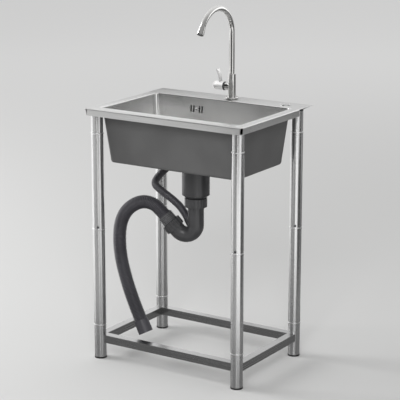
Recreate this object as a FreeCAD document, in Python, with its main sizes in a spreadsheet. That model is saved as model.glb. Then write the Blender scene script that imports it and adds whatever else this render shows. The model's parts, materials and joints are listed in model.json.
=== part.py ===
import FreeCAD, Part
import math
import os
import re

import Sketcher

# A free-standing one-bowl stainless steel sink on four plug-together tube legs,
# with a gooseneck cold tap, a basket waste, a U-bend trap and two ribbed hoses.
# X runs to the right, Y to the rear and Z up; the origin lies on the floor under the middle of the rim.

doc = FreeCAD.newDocument("standing_sink")
sheet = doc.addObject("Spreadsheet::Sheet", "Sizes")
vector = FreeCAD.Vector
pieces = []

# Sizes in millimetres and degrees. A size that starts with = follows the sizes that it names.
rim_sizes = {
    "rim_width": 555,
    "rim_depth": 420,
    "rim_height": 800,
    "sheet_thick": 1,
    "apron_height": 21,
    "front_relief": 5,
    "side_relief": 9,
    "rear_relief": 42.5,
    "apron_gap": 81,
    "apron_stop": "=rim_depth / 2 - apron_gap",
    "cut_overrun": 20,
}

bowl_sizes = {
    "side_border": 31.5,
    "front_border": 39.5,
    "rear_border": 81.5,
    "bowl_width": "=rim_width - 2 * side_border",
    "bowl_length": "=rim_depth - front_border - rear_border",
    "bowl_middle": "=(front_border - rear_border) / 2",
    "bowl_depth": 172,
    "bowl_draft": 18,
    "bowl_corner": 13,
    "floor_round": 8,
    "lip_round": 3,
    "seam_out": 8,
    "coat_thick": 1,
    "coat_gap": 0.05,
    "coat_drop": 4,
}

leg_sizes = {
    "leg_radius": 19,
    "leg_wall": 1,
    "leg_side_inset": 25.5,
    "leg_front_inset": 24,
    "leg_rear_inset": 50,
    "leg_half_span": "=rim_width / 2 - leg_side_inset",
    "leg_front": "=leg_front_inset - rim_depth / 2",
    "leg_rear": "=rim_depth / 2 - leg_rear_inset",
    "stub_step": 0.5,
    "slip_gap": 0.1,
    "spigot_long": 30,
    "spigot_root": 5,
    "top_stub_drop": 78,
    "lower_tube_long": 309,
    "lower_joint": 112,
    "upper_joint": "=rim_height - top_stub_drop",
    "middle_joint": "=lower_joint + lower_tube_long",
    "foot_height": 5,
    "foot_plug": 22,
    "foot_wall": 3,
    "lock_rise": 8,
    "lock_head": 3.6,
    "lock_proud": 2.2,
    "lock_shank": 2,
    "lock_deep": 4,
    "front_left_turn": 30,
    "front_right_turn": 13,
    "rear_left_turn": 20,
    "rear_right_turn": 25,
}

rail_sizes = {
    "rail_bottom": 51,
    "rail_side": 25,
    "rail_wall": 1.2,
    "rail_inset": 9,
    "weld_gap": 0.05,
}

waste_sizes = {
    "cup_radius": 39.5,
    "cup_wall": 1,
    "cup_deep": 45,
    "cup_ports": 8,
    "port_radius": 7,
    "port_edge": 15.5,
    "port_ring": "=cup_radius - port_edge",
    "hole_room": 1.5,
    "floor_hole": "=cup_radius + hole_room",
    "lip_wide": 14.5,
    "lip_radius": "=cup_radius + lip_wide",
    "lip_thick": 1.2,
    "pot_wall": 2.5,
    "pot_room": 1,
    "pot_radius": "=cup_radius + pot_room + pot_wall",
    "pot_flange": 9,
    "pot_rim": 5,
    "seal_room": 1,
    "seal_inner": "=floor_hole + seal_room",
    "seal_outer": "=pot_radius + pot_flange",
    "seal_thick": 3,
    "pot_tall": 99,
    "pot_taper": 10,
    "neck_long": 20,
    "pot_bottom": "=rim_height - bowl_depth - pot_tall",
    "neck_top": "=pot_bottom - pot_taper",
    "neck_bottom": "=neck_top - neck_long",
    "boss_radius": 7,
    "boss_rise": 13,
    "boss_bottom": "=pot_bottom + boss_rise",
    "bridge_thick": 8,
    "screw_head": 6,
    "screw_rise": 3,
    "screw_radius": 3,
    "screw_slip": 0.05,
}

basket_sizes = {
    "basket_room": 2.5,
    "basket_radius": "=cup_radius - cup_wall - basket_room",
    "basket_edge": 8,
    "basket_rim": "=basket_radius + basket_edge",
    "basket_wall": 0.8,
    "basket_deep": 38,
    "basket_gap": 0.05,
    "mesh_radius": 3,
    "mesh_near_out": 8,
    "mesh_near_count": 8,
    "mesh_far_in": 9,
    "mesh_far": "=basket_radius - mesh_far_in",
    "mesh_far_count": 14,
    "wall_mesh_radius": 3.4,
    "wall_mesh_count": 14,
    "wall_mesh_rows": 3,
    "wall_mesh_step": 9,
    "stem_radius": 4,
    "stem_slip": 0.1,
    "stem_flange": 4,
    "stem_collar": "=stem_radius + stem_flange",
    "mesh_near": "=stem_collar + mesh_near_out",
    "collar_thick": 3,
    "stem_rise": 9,
    "knob_radius": 9,
    "knob_height": 8,
    "knob_round": 3,
}

trap_sizes = {
    "trap_radius": 25,
    "trap_wall": 3,
    "trap_bend": 32,
    "neck_step": 1,
    "neck_wall": 4,
    "neck_bore": "=trap_radius + neck_step",
    "neck_radius": "=neck_bore + neck_wall",
    "nut_wall": 5,
    "nut_radius": "=neck_radius + nut_wall",
    "nut_drop": 8,
    "nut_bottom": "=neck_bottom - nut_drop",
    "nut_lip": 3,
    "nut_slip": 0.3,
    "flange_step": 0.5,
    "trap_flange": "=neck_radius - flange_step",
    "flange_thick": 4,
    "slip_nut_wall": 6,
    "slip_nut_radius": "=trap_radius + slip_nut_wall",
    "slip_nut_long": 22,
    "slip_nut_over": 4,
    "grip_radius": 2.6,
    "grip_count": 16,
}

hose_sizes = {
    "hose_radius": 21,
    "hose_rib": 2,
    "hose_wall": 2,
    "hose_valley": "=hose_radius - hose_rib",
    "hose_bore": "=hose_valley - hose_wall",
    "hose_ribs": 130,
    "hose_slip": 0.3,
    "collar_step": 2,
    "collar_radius": "=hose_radius + collar_step",
    "collar_long": 28,
    "cuff_step": 2,
    "cuff_radius": "=hose_radius + cuff_step",
    "cuff_long": 42,
    "overflow_radius": 12,
    "overflow_rib": 1.2,
    "overflow_wall": 1.4,
    "overflow_valley": "=overflow_radius - overflow_rib",
    "overflow_bore": "=overflow_valley - overflow_wall",
    "overflow_ribs": 120,
    "spigot_wall": 1.7,
    "spigot_radius": "=overflow_bore - hose_slip",
    "spigot_bore": "=spigot_radius - spigot_wall",
    "spigot_in": 14,
    "branch_step": 1,
    "branch_radius": "=overflow_radius + branch_step",
}

overflow_sizes = {
    "slot_left": 92,
    "slot_drop": 37,
    "slot_middle": "=-slot_left",
    "slot_height": "=rim_height - slot_drop",
    "slot_inner": 10.5,
    "slot_outer": 20.5,
    "slot_radius": 2.6,
    "slot_span": 17,
    "wall_screw_radius": 2,
    "wall_screw_room": 0.3,
    "wall_screw_hole": "=wall_screw_radius + wall_screw_room",
    "wall_screw_head": 5,
    "wall_screw_rise": 2,
    "housing_side": 9.5,
    "housing_ends": 10.5,
    "housing_wide": "=2 * (slot_outer + housing_side)",
    "housing_tall": "=slot_span + 2 * housing_ends",
    "housing_deep": 22,
    "housing_wall": 4,
    "gasket_thick": 2,
    "pillar_radius": 5,
    "coat_window": 3,
    "outlet_step": 0.5,
    "outlet_radius": "=overflow_radius - outlet_step",
    "outlet_back": 18,
    "outlet_left": 27,
    "outlet_drop": 27,
    "outlet_inset": 69,
}

tap_sizes = {
    "tap_right": 10.5,
    "tap_inset": 41,
    "tap_back": "=rim_depth / 2 - tap_inset",
    "shank_radius": 11,
    "shank_slip": 0.05,
    "shank_in": 9,
    "tail_step": 0.52,
    "tail_radius": "=shank_radius - tail_step",
    "tail_long": 40,
    "tail_drop": 58,
    "shank_bottom": "=rim_height - tail_drop",
    "tap_hole_room": 1,
    "tap_hole": "=shank_radius + tap_hole_room",
    "base_wide": 10.5,
    "base_radius": "=shank_radius + base_wide",
    "base_thick": 5,
    "base_bevel": 1.5,
    "tap_seal_thick": 1.5,
    "tap_seal_radius": "=base_radius - base_bevel",
    "tap_wall": 2,
    "tap_radius": "=shank_radius + tap_wall",
    "tap_rise": 80,
    "tap_top": "=rim_height + tap_rise",
    "tap_bevel": 1.2,
    "water_bore": 6,
    "washer_wide": 9,
    "washer_radius": "=shank_radius + washer_wide",
    "washer_thick": 3,
    "tap_nut_wide": 6,
    "tap_nut_radius": "=shank_radius + tap_nut_wide",
    "tap_nut_thick": 10,
    "spout_radius": 8.5,
    "spout_wall": 1.2,
    "spout_slip": 0.06,
    "spout_in": 24,
    "spout_rest": 0.3,
    "apex_rise": 292,
    "spout_apex": "=rim_height + apex_rise",
    "near_bend": 84,
    "far_bend": 100,
    "far_turn": 58,
    "aerator_long": 26,
    "aerator_sleeve": 8,
    "aerator_wall": 1.1,
    "aerator_neck": "=spout_radius + aerator_wall",
    "aerator_flare": 1.9,
    "aerator_radius": "=aerator_neck + aerator_flare",
    "aerator_lip": 2,
    "insert_radius": "=aerator_radius - aerator_lip",
    "insert_thick": 5,
    "insert_proud": 0.6,
}

valve_sizes = {
    "valve_rise": 38,
    "valve_height": "=rim_height + valve_rise",
    "cartridge_radius": 9,
    "cartridge_start": 9,
    "cartridge_nose": 4,
    "boss_wall": 3,
    "side_boss": "=cartridge_radius + boss_wall",
    "boss_out": 10,
    "boss_reach": "=tap_radius + boss_out",
    "ring_step": 1.6,
    "ring_radius": "=side_boss + ring_step",
    "ring_thick": 4,
    "spindle_radius": 4,
    "spindle_slip": 0.05,
    "spindle_long": 19,
    "spindle_end": "=boss_reach + ring_thick + cartridge_nose + spindle_long",
    "hub_gap": 0.4,
    "hub_step": 1.5,
    "hub_radius": "=side_boss + hub_step",
    "hub_cap": 13,
    "hub_end": "=spindle_end + hub_cap",
    "hub_round": 3,
    "hub_slip": 0.3,
    "lever_back": 22,
    "lever_reach": "=hub_end - lever_back",
    "lever_curve": 92,
    "lever_turn": 28,
    "lever_start": 8,
    "lever_thick": 5,
    "lever_wide": 13,
}

cover_sizes = {
    "cover_side_inset": 74.5,
    "cover_rear_inset": 39,
    "cover_right": "=rim_width / 2 - cover_side_inset",
    "cover_back": "=rim_depth / 2 - cover_rear_inset",
    "cover_stem": 9.6,
    "cover_room": 0.4,
    "cover_hole": "=cover_stem + cover_room",
    "cover_wide": 5.9,
    "cover_radius": "=cover_stem + cover_wide",
    "cover_thick": 3,
    "cover_bevel": 1.2,
    "cover_stem_long": 22,
    "cover_nut_wide": 5.4,
    "cover_nut": "=cover_stem + cover_nut_wide",
    "cover_nut_thick": 7,
    "cover_nut_slip": 0.05,
}

# Drain hose, from the trap mouth over its arch and down to the free end, in millimetres.
drain_route = [
    (-72.2, -50.2, 435.5),
    (-109.6, -65.3, 480.6),
    (-129.3, -73, 495.5),
    (-161, -83, 498.5),
    (-195.5, -92, 480.5),
    (-222, -99, 448),
    (-232, -106, 397.5),
    (-224.5, -112, 320.5),
    (-196, -117, 238),
    (-158, -121.5, 157.5),
    (-119.6, -125, 88),
]

# Overflow hose, from its housing behind the bowl, down and round to the trap's side inlet.
overflow_route = [
    (-119, 141, 736),
    (-138, 147, 694),
    (-160, 149, 634),
    (-184, 128, 577),
    (-210, 88, 544),
    (-203, 44, 523),
    (-152, 12, 514),
    (-92, -5, 494),
    (-55, -12, 473),
    (-33, -16, 445),
]

run_share = 0.45
rib_shares = (0, 0.25, 0.5, 0.75)
near_enough = 0.01
bowl_bottom = "rim_height - bowl_depth"
floor_top = "rim_height - bowl_depth + sheet_thick"
wall_draft = "bowl_draft * (rim_height - slot_height) / bowl_depth"
wall_face = f"bowl_middle + bowl_length / 2 + sheet_thick - {wall_draft}"


def fill_sheet(groups):
    # One row for each driving size: its name, then its value.
    row = 0
    for group in groups:
        for alias, value in group.items():
            row += 1
            sheet.set(f"A{row}", alias)
            sheet.set(f"B{row}", str(value))
            sheet.setAlias(f"B{row}", alias)
    doc.recompute()


def cells(text):
    return re.sub(r"\b([a-z]+(?:_[a-z]+)+)\b", r"Sizes.\1", text)


def size(text):
    return float(sheet.evalExpression(cells(text)))


def bind(thing, prop, text):
    thing.setExpression(prop, cells(text))


def place(thing, right="0", back="0", up="0", rotation=None):
    if rotation is not None:
        thing.Placement = FreeCAD.Placement(vector(), rotation)
    bind(thing, "Placement.Base.x", right)
    bind(thing, "Placement.Base.y", back)
    bind(thing, "Placement.Base.z", up)
    return thing


def keep(thing, label):
    thing.Label = label
    pieces.append(thing)
    return thing


def sketch_on(body, name, role, lift="0"):
    # An empty sketch on one of the body's own origin planes, raised along its normal.
    sketch = body.newObject("Sketcher::SketchObject", name)
    planes = [item for item in body.Origin.OriginFeatures if item.Role == role]
    sketch.AttachmentSupport = (planes[0], [""])
    sketch.MapMode = "FlatFace"
    if lift != "0":
        bind(sketch, "AttachmentOffset.Base.z", lift)
    return sketch


def pin_point(sketch, index, end, across, along):
    # Fixes one point of the sketch by its two distances from the sketch origin.
    for kind, axis, text in (("DistanceX", -2, across), ("DistanceY", -1, along)):
        if text == "0":
            sketch.addConstraint(Sketcher.Constraint("PointOnObject", index, end, axis))
        else:
            number = sketch.addConstraint(Sketcher.Constraint(kind, -1, 1, index, end, size(text)))
            bind(sketch, f"Constraints[{number}]", text)


def draw_outline(sketch, corners):
    # A closed outline of straight lines through corners given as pairs of expressions.
    count = len(corners)
    spots = [vector(size(across), size(along), 0) for across, along in corners]
    for index in range(count):
        sketch.addGeometry(Part.LineSegment(spots[index], spots[(index + 1) % count]), False)
    for index in range(count):
        sketch.addConstraint(Sketcher.Constraint("Coincident", index, 2, (index + 1) % count, 1))
    for index, (across, along) in enumerate(corners):
        pin_point(sketch, index, 1, across, along)


def draw_rounded(sketch, half_wide, middle, half_long, radius):
    # A rounded rectangle, centred on the sketch's own Y line at the height called middle.
    wide = size(half_wide)
    low = size(f"{middle} - ({half_long})")
    high = size(f"{middle} + {half_long}")
    bend = size(radius)
    spots = [
        (wide - bend, low + bend, -math.pi / 2),
        (wide - bend, high - bend, 0),
        (-wide + bend, high - bend, math.pi / 2),
        (-wide + bend, low + bend, math.pi),
    ]
    for across, along, start in spots:
        circle = Part.Circle(vector(across, along, 0), vector(0, 0, 1), bend)
        sketch.addGeometry(Part.ArcOfCircle(circle, start, start + math.pi / 2), False)
    for index in range(4):
        begin = sketch.getPoint(index, 2)
        end = sketch.getPoint((index + 1) % 4, 1)
        sketch.addGeometry(Part.LineSegment(begin, end), False)
    for index in range(4):
        sketch.addConstraint(Sketcher.Constraint("Tangent", index, 2, 4 + index, 1))
        sketch.addConstraint(Sketcher.Constraint("Tangent", 4 + index, 2, (index + 1) % 4, 1))
    for index in (4, 6):
        sketch.addConstraint(Sketcher.Constraint("Vertical", index))
        sketch.addConstraint(Sketcher.Constraint("Horizontal", index + 1))
    for index in (1, 2, 3):
        sketch.addConstraint(Sketcher.Constraint("Equal", 0, index))
    number = sketch.addConstraint(Sketcher.Constraint("Radius", 0, bend))
    bind(sketch, f"Constraints[{number}]", radius)
    sides = [
        ("DistanceX", 4, wide, half_wide),
        ("DistanceY", 5, high, f"{middle} + {half_long}"),
        ("DistanceX", 6, -wide, f"-({half_wide})"),
        ("DistanceY", 7, low, f"{middle} - ({half_long})"),
    ]
    for kind, line, value, text in sides:
        number = sketch.addConstraint(Sketcher.Constraint(kind, -1, 1, line, 1, value))
        bind(sketch, f"Constraints[{number}]", text)


def turned(name, corners, sweep="360"):
    # A piece turned about its own Z axis; corners are pairs of radius and height.
    body = doc.addObject("PartDesign::Body", name)
    sketch = sketch_on(body, name + "_outline", "XZ_Plane")
    draw_outline(sketch, corners)
    turn = body.newObject("PartDesign::Revolution", name + "_turn")
    turn.Profile = sketch
    turn.ReferenceAxis = (sketch, ["V_Axis"])
    bind(turn, "Angle", sweep)
    return body


def pad(body, name, corners, bottom, height):
    sketch = sketch_on(body, name + "_outline", "XY_Plane", bottom)
    draw_outline(sketch, corners)
    feature = body.newObject("PartDesign::Pad", name)
    feature.Profile = sketch
    bind(feature, "Length", height)
    return feature


def oblong(left, right, near, far):
    return [(left, near), (right, near), (right, far), (left, far)]


def rod(name, radius, height):
    thing = doc.addObject("Part::Cylinder", name)
    bind(thing, "Radius", radius)
    bind(thing, "Height", height)
    return thing


def block(name, wide, long, tall):
    thing = doc.addObject("Part::Box", name)
    bind(thing, "Length", wide)
    bind(thing, "Width", long)
    bind(thing, "Height", tall)
    return thing


def joined(name, things):
    thing = doc.addObject("Part::MultiFuse", name)
    thing.Shapes = things
    return thing


def carved(name, base, tools):
    thing = doc.addObject("Part::Cut", name)
    thing.Base = base
    thing.Tool = tools[0]
    if len(tools) > 1:
        thing.Tool = joined(name + "_tools", tools)
    return thing


def fixed(name, shape):
    thing = doc.addObject("Part::Feature", name)
    thing.Shape = shape
    return thing


def rounded_edges(body, name, base, radius, chosen):
    # Rounds the edges of the feature that the function called chosen picks out.
    doc.recompute()
    edges = [f"Edge{number}" for number, edge in enumerate(base.Shape.Edges, 1) if chosen(edge)]
    feature = body.newObject("PartDesign::Fillet", name)
    feature.Base = (base, edges)
    bind(feature, "Radius", radius)
    return feature


def lies_at(height):
    return lambda edge: all(abs(point.Z - height) < near_enough for point in edge.Vertexes)


def bowl_edges(level, grow):
    # Picks the edges that run round the bowl form at one height.
    def chosen(edge):
        middle = edge.CenterOfMass
        within_x = abs(middle.x) < size(f"bowl_width / 2 + {grow}") + near_enough
        within_y = abs(middle.y - size("bowl_middle")) < size(f"bowl_length / 2 + {grow}") + near_enough
        return within_x and within_y and lies_at(level)(edge)
    return chosen


def tub(body, name, grow, top, bottom, radius):
    # The drafted bowl form between two heights, grown sideways from the inner faces.
    sections = []
    for tag, level in (("top", top), ("bottom", bottom)):
        sketch = sketch_on(body, f"{name}_{tag}", "XY_Plane", level)
        draft = f"bowl_draft * (rim_height - ({level})) / bowl_depth"
        half_wide = f"bowl_width / 2 + {grow} - {draft}"
        half_long = f"(bowl_length / 2 + {grow} - {draft})"
        draw_rounded(sketch, half_wide, "bowl_middle", half_long, f"bowl_corner + {grow}")
        sections.append(sketch)
    loft = body.newObject("PartDesign::AdditiveLoft", name)
    loft.Profile = sections[0]
    loft.Sections = [sections[1]]
    loft.Ruled = True
    return rounded_edges(body, name + "_round", loft, radius, lies_at(size(bottom)))


def bowl_cavity():
    # The space inside the bowl, flared at the top so that the rim rolls over into the wall.
    body = doc.addObject("PartDesign::Body", "bowl_space")
    half_wide = "(bowl_width / 2 + 2 * lip_round)"
    half_long = "(bowl_length / 2 + 2 * lip_round)"
    mouth = oblong(f"-{half_wide}", half_wide, f"bowl_middle - {half_long}", f"bowl_middle + {half_long}")
    pad(body, "bowl_mouth", mouth, "rim_height", "lip_round")
    space = tub(body, "bowl_inside", "0", "rim_height", floor_top, "floor_round")
    rounded_edges(body, "bowl_lip", space, "lip_round", bowl_edges(size("rim_height"), "0"))
    return body


def round_path(points, radii):
    # Straight runs joined by tangent arcs, one radius for each inner point.
    edges = []
    start = points[0]
    for index, radius in enumerate(radii, 1):
        corner = points[index]
        arrive = (corner - points[index - 1]).normalize()
        leave = (points[index + 1] - corner).normalize()
        half_turn = arrive.getAngle(leave) / 2
        reach = radius * math.tan(half_turn)
        first = corner - arrive * reach
        last = corner + leave * reach
        inward = (leave - arrive).normalize()
        middle = corner + inward * (radius / math.cos(half_turn) - radius)
        if (first - start).Length > near_enough:
            edges.append(Part.LineSegment(start, first).toShape())
        edges.append(Part.Arc(first, middle, last).toShape())
        start = last
    edges.append(Part.LineSegment(start, points[-1]).toShape())
    return Part.Wire(edges)


def even_radii(points):
    # The largest tangent arc that each pair of neighbouring runs leaves room for.
    radii = []
    for before, corner, after in zip(points, points[1:], points[2:]):
        shorter = min((corner - before).Length, (after - corner).Length)
        half_turn = (corner - before).getAngle(after - corner) / 2
        radii.append(run_share * shorter / math.tan(half_turn))
    return radii


def swept(path, radius):
    start = path.Edges[0]
    ring = Part.makeCircle(radius, start.valueAt(start.FirstParameter), start.tangentAt(start.FirstParameter))
    return path.makePipeShell([Part.Wire([ring])], True, False)


def spots_along(path, distances):
    # Points and directions on the path at growing distances from its start.
    edges = path.Edges
    lengths = [edge.Length for edge in edges]
    spots = []
    index = 0
    passed = 0
    for distance in distances:
        while index < len(edges) - 1 and distance > passed + lengths[index]:
            passed += lengths[index]
            index += 1
        edge = edges[index]
        place_on_edge = edge.getParameterByLength(min(distance - passed, lengths[index]))
        spots.append((edge.valueAt(place_on_edge), edge.tangentAt(place_on_edge)))
    return spots


def ringed(spots, radii):
    # A ruled loft through one circle for each spot, each with the same steady X axis.
    wires = []
    steady = vector(0, 1, 0)
    for (spot, along), radius in zip(spots, radii):
        side = (steady - along * steady.dot(along)).normalize()
        up = along.cross(side)
        frame = FreeCAD.Matrix(
            side.x, up.x, along.x, spot.x,
            side.y, up.y, along.y, spot.y,
            side.z, up.z, along.z, spot.z,
            0, 0, 0, 1,
        )
        ring = Part.makeCircle(radius)
        ring.Placement = FreeCAD.Placement(frame)
        wires.append(Part.Wire([ring]))
        steady = side
    return Part.makeLoft(wires, True, True)


def ribbed_hose(name, route, outer, valley, bore, ribs):
    # A hose with evenly spaced ribs, four rings to a rib, and a plain bore right through it.
    points = [vector(*point) for point in route]
    radii = even_radii(points)
    path = round_path(points, radii)
    count = int(size(ribs))
    pitch = path.Length / count
    rib_radii = (size(valley), size(outer), size(outer), size(valley))
    distances = []
    rings = []
    for rib in range(count):
        for share, radius in zip(rib_shares, rib_radii):
            distances.append((rib + share) * pitch)
            rings.append(radius)
    distances.append(path.Length)
    rings.append(size(valley))
    body = ringed(spots_along(path, distances), rings)
    core = swept(path, size(bore))
    hose = body.cut(core)
    plain = math.pi * size(bore) ** 2 * path.Length
    print(name, "length", round(path.Length), "bends", [round(radius) for radius in radii])
    print(name, "rib pitch", round(pitch, 2), "bore share", round(core.Volume / plain, 3))
    return fixed(name, hose.Solids[0])


def facing(direction):
    return FreeCAD.Rotation(vector(0, 0, 1), direction)


def set_along(thing, spot, direction):
    thing.Placement = FreeCAD.Placement(spot, facing(direction))
    return thing


def ring_of_rods(name, count, radius, height, ring, bottom, right="0", back="0"):
    # Upright rods set evenly on a circle.
    rods = []
    for index in range(count):
        angle = 360 * index / count
        thing = rod(f"{name}_{index}", radius, height)
        place(thing, f"{right} + {ring} * cos({angle})", f"{back} + {ring} * sin({angle})", bottom)
        rods.append(thing)
    return rods


def seam_space():
    # The upright space inside the weld seam that parts the bowl from the deck.
    body = doc.addObject("PartDesign::Body", "seam_space")
    sketch = sketch_on(body, "seam_outline", "XY_Plane", f"{bowl_bottom} - cut_overrun")
    half_wide = "bowl_width / 2 + seam_out"
    half_long = "(bowl_length / 2 + seam_out)"
    draw_rounded(sketch, half_wide, "bowl_middle", half_long, "bowl_corner + seam_out")
    feature = body.newObject("PartDesign::Pad", "seam_pad")
    feature.Profile = sketch
    bind(feature, "Length", "bowl_depth + 2 * cut_overrun")
    return body


def make_basin():
    # The deck with its folded aprons, and the bowl that is welded into it.
    half_wide = "rim_width / 2"
    half_long = "rim_depth / 2"
    apron_bottom = "rim_height - apron_height"
    body = doc.addObject("PartDesign::Body", "basin_sheet")
    deck = oblong(f"-{half_wide}", half_wide, f"-{half_long}", half_long)
    pad(body, "deck", deck, "rim_height - sheet_thick", "sheet_thick")
    front_end = f"{half_wide} - front_relief"
    front = oblong(f"-({front_end})", front_end, f"-{half_long}", f"-{half_long} + sheet_thick")
    pad(body, "front_apron", front, apron_bottom, "apron_height")
    rear_end = f"{half_wide} - rear_relief"
    rear = oblong(f"-({rear_end})", rear_end, f"{half_long} - sheet_thick", half_long)
    pad(body, "rear_apron", rear, apron_bottom, "apron_height")
    side_start = f"-{half_long} + side_relief"
    right = oblong(f"{half_wide} - sheet_thick", half_wide, side_start, "apron_stop")
    pad(body, "right_apron", right, apron_bottom, "apron_height")
    left = oblong(f"-{half_wide}", f"-{half_wide} + sheet_thick", side_start, "apron_stop")
    pad(body, "left_apron", left, apron_bottom, "apron_height")
    outside_round = "floor_round + sheet_thick"
    shell = tub(body, "bowl_outside", "sheet_thick", "rim_height", bowl_bottom, outside_round)
    under_lip = bowl_edges(size("rim_height - sheet_thick"), "sheet_thick")
    rounded_edges(body, "under_lip", shell, "lip_round + sheet_thick", under_lip)
    openings = [bowl_cavity()]
    for name, radius, right, back, face in (
        ("drain_opening", "floor_hole", "0", "bowl_middle", bowl_bottom),
        ("tap_opening", "tap_hole", "tap_right", "tap_back", "rim_height - sheet_thick"),
        ("cover_opening", "cover_hole", "cover_right", "cover_back", "rim_height - sheet_thick"),
    ):
        hole = rod(name, radius, "sheet_thick + 2 * cut_overrun")
        openings.append(place(hole, right, back, f"{face} - cut_overrun"))
    openings += wall_slots()
    pressed = carved("basin_form", body, openings)
    inside = seam_space()
    keep(carved("deck_sheet", pressed, [inside]), "sink_deck")
    bowl = doc.addObject("Part::Common", "bowl_sheet")
    bowl.Base = pressed
    bowl.Tool = inside
    keep(bowl, "sink_bowl")


def wall_slots():
    # Four upright overflow slots with round ends and a screw hole, driven through the rear wall.
    through = "housing_deep"
    start = wall_face + " - housing_deep / 2"
    level = FreeCAD.Rotation(vector(1, 0, 0), -90)
    bore = rod("wall_screw_bore", "wall_screw_hole", through)
    tools = [place(bore, "slot_middle", start, "slot_height", level)]
    offsets = {"a": "-slot_outer", "b": "-slot_inner", "c": "slot_inner", "d": "slot_outer"}
    for tag, offset in offsets.items():
        across = f"slot_middle + {offset}"
        for end, sign in (("top", "+"), ("bottom", "-")):
            tip = rod(f"slot_{tag}_{end}", "slot_radius", through)
            tools.append(place(tip, across, start, f"slot_height {sign} slot_span / 2", level))
        middle = block(f"slot_{tag}_middle", "2 * slot_radius", through, "slot_span")
        tools.append(place(middle, f"{across} - slot_radius", start, "slot_height - slot_span / 2"))
    return tools


def make_undercoat():
    # A thin sprayed coat on the outside of the bowl, left off round the drain and the overflow.
    top = "rim_height - sheet_thick - coat_drop"
    lining = "(sheet_thick + coat_gap)"
    grown = "(sheet_thick + coat_gap + coat_thick)"
    skin = doc.addObject("PartDesign::Body", "coat_skin")
    tub(skin, "coat_outside", grown, top, f"{bowl_bottom} - coat_gap - coat_thick", f"floor_round + {grown}")
    core = doc.addObject("PartDesign::Body", "coat_core")
    tub(core, "coat_inside", lining, top, f"{bowl_bottom} - coat_gap", f"floor_round + {lining}")
    hole = rod("coat_drain_opening", "seal_outer + coat_window", "coat_thick + 2 * cut_overrun")
    place(hole, "0", "bowl_middle", f"{bowl_bottom} - coat_gap - coat_thick - cut_overrun")
    window = block("coat_overflow_opening", "housing_wide + 2 * coat_window", "2 * housing_deep",
                   "housing_tall + 2 * coat_window")
    place(window, "slot_middle - housing_wide / 2 - coat_window", f"{wall_face} - housing_deep",
          "slot_height - housing_tall / 2 - coat_window")
    keep(carved("bowl_undercoat", skin, [core, hole, window]), "bowl_undercoat")


def lock_spot(facing_angle, right, back, distance):
    # A point at the locking screw's height, a given distance from the leg's axis.
    across = f"{right} + ({distance}) * sin({facing_angle})"
    along = f"{back} - ({distance}) * cos({facing_angle})"
    return across, along, "middle_joint + lock_rise"


def make_leg(tag, right, back, facing_angle):
    # One leg: top stub, upper and lower tube, bottom stub and foot, each plugged into the next.
    spigot = "leg_radius - leg_wall - slip_gap"
    bore = f"({spigot} - leg_wall)"
    stub = "leg_radius - stub_step"
    inner = "leg_radius - leg_wall"
    deck = "rim_height - sheet_thick"
    top_stub = turned(f"{tag}_top", [
        (bore, "upper_joint - spigot_long"), (spigot, "upper_joint - spigot_long"), (spigot, "upper_joint"),
        (stub, "upper_joint"), (stub, deck), (bore, deck)])
    upper = turned(f"{tag}_upper", oblong(inner, "leg_radius", "middle_joint", "upper_joint"))
    lower = turned(f"{tag}_lower", [
        (inner, "lower_joint"), ("leg_radius", "lower_joint"), ("leg_radius", "middle_joint"),
        (spigot, "middle_joint"), (spigot, "middle_joint + spigot_long"),
        (bore, "middle_joint + spigot_long"), (bore, "middle_joint - spigot_root"),
        (inner, "middle_joint - spigot_root")])
    bottom_stub = turned(f"{tag}_bottom", [
        (bore, "foot_height"), (stub, "foot_height"), (stub, "lower_joint"), (spigot, "lower_joint"),
        (spigot, "lower_joint + spigot_long"), (bore, "lower_joint + spigot_long")])
    plug = f"({bore} - slip_gap)"
    foot = turned(f"{tag}_plug", [
        ("0", "0"), ("leg_radius", "0"), ("leg_radius", "foot_height"), (plug, "foot_height"),
        (plug, "foot_height + foot_plug"), (f"{plug} - foot_wall", "foot_height + foot_plug"),
        (f"{plug} - foot_wall", "foot_height"), ("0", "foot_height")])
    for body in (top_stub, upper, lower, bottom_stub, foot):
        place(body, right, back)
    turn = FreeCAD.Rotation(vector(0, 0, 1), facing_angle) * FreeCAD.Rotation(vector(1, 0, 0), 90)
    hole_start = "leg_radius - leg_wall - lock_deep"
    drilled = []
    for part_name, body in (("upper_tube", upper), ("lower_tube", lower)):
        hole = rod(f"{tag}_{part_name}_hole", "lock_shank + slip_gap", "2 * lock_deep")
        place(hole, *lock_spot(facing_angle, right, back, hole_start), turn)
        drilled.append(carved(f"{tag}_{part_name}_drilled", body, [hole]))
    keep(top_stub, f"{tag}_top_stub")
    keep(drilled[0], f"{tag}_upper_tube")
    keep(drilled[1], f"{tag}_lower_tube")
    keep(bottom_stub, f"{tag}_bottom_stub")
    keep(foot, f"{tag}_foot")
    head = rod(f"{tag}_lock_head", "lock_head", "lock_proud")
    place(head, *lock_spot(facing_angle, right, back, "leg_radius"), turn)
    shank = rod(f"{tag}_lock_shank", "lock_shank", "lock_deep")
    place(shank, *lock_spot(facing_angle, right, back, "leg_radius - lock_deep"), turn)
    return joined(f"{tag}_lock_screw", [head, shank])


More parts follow.
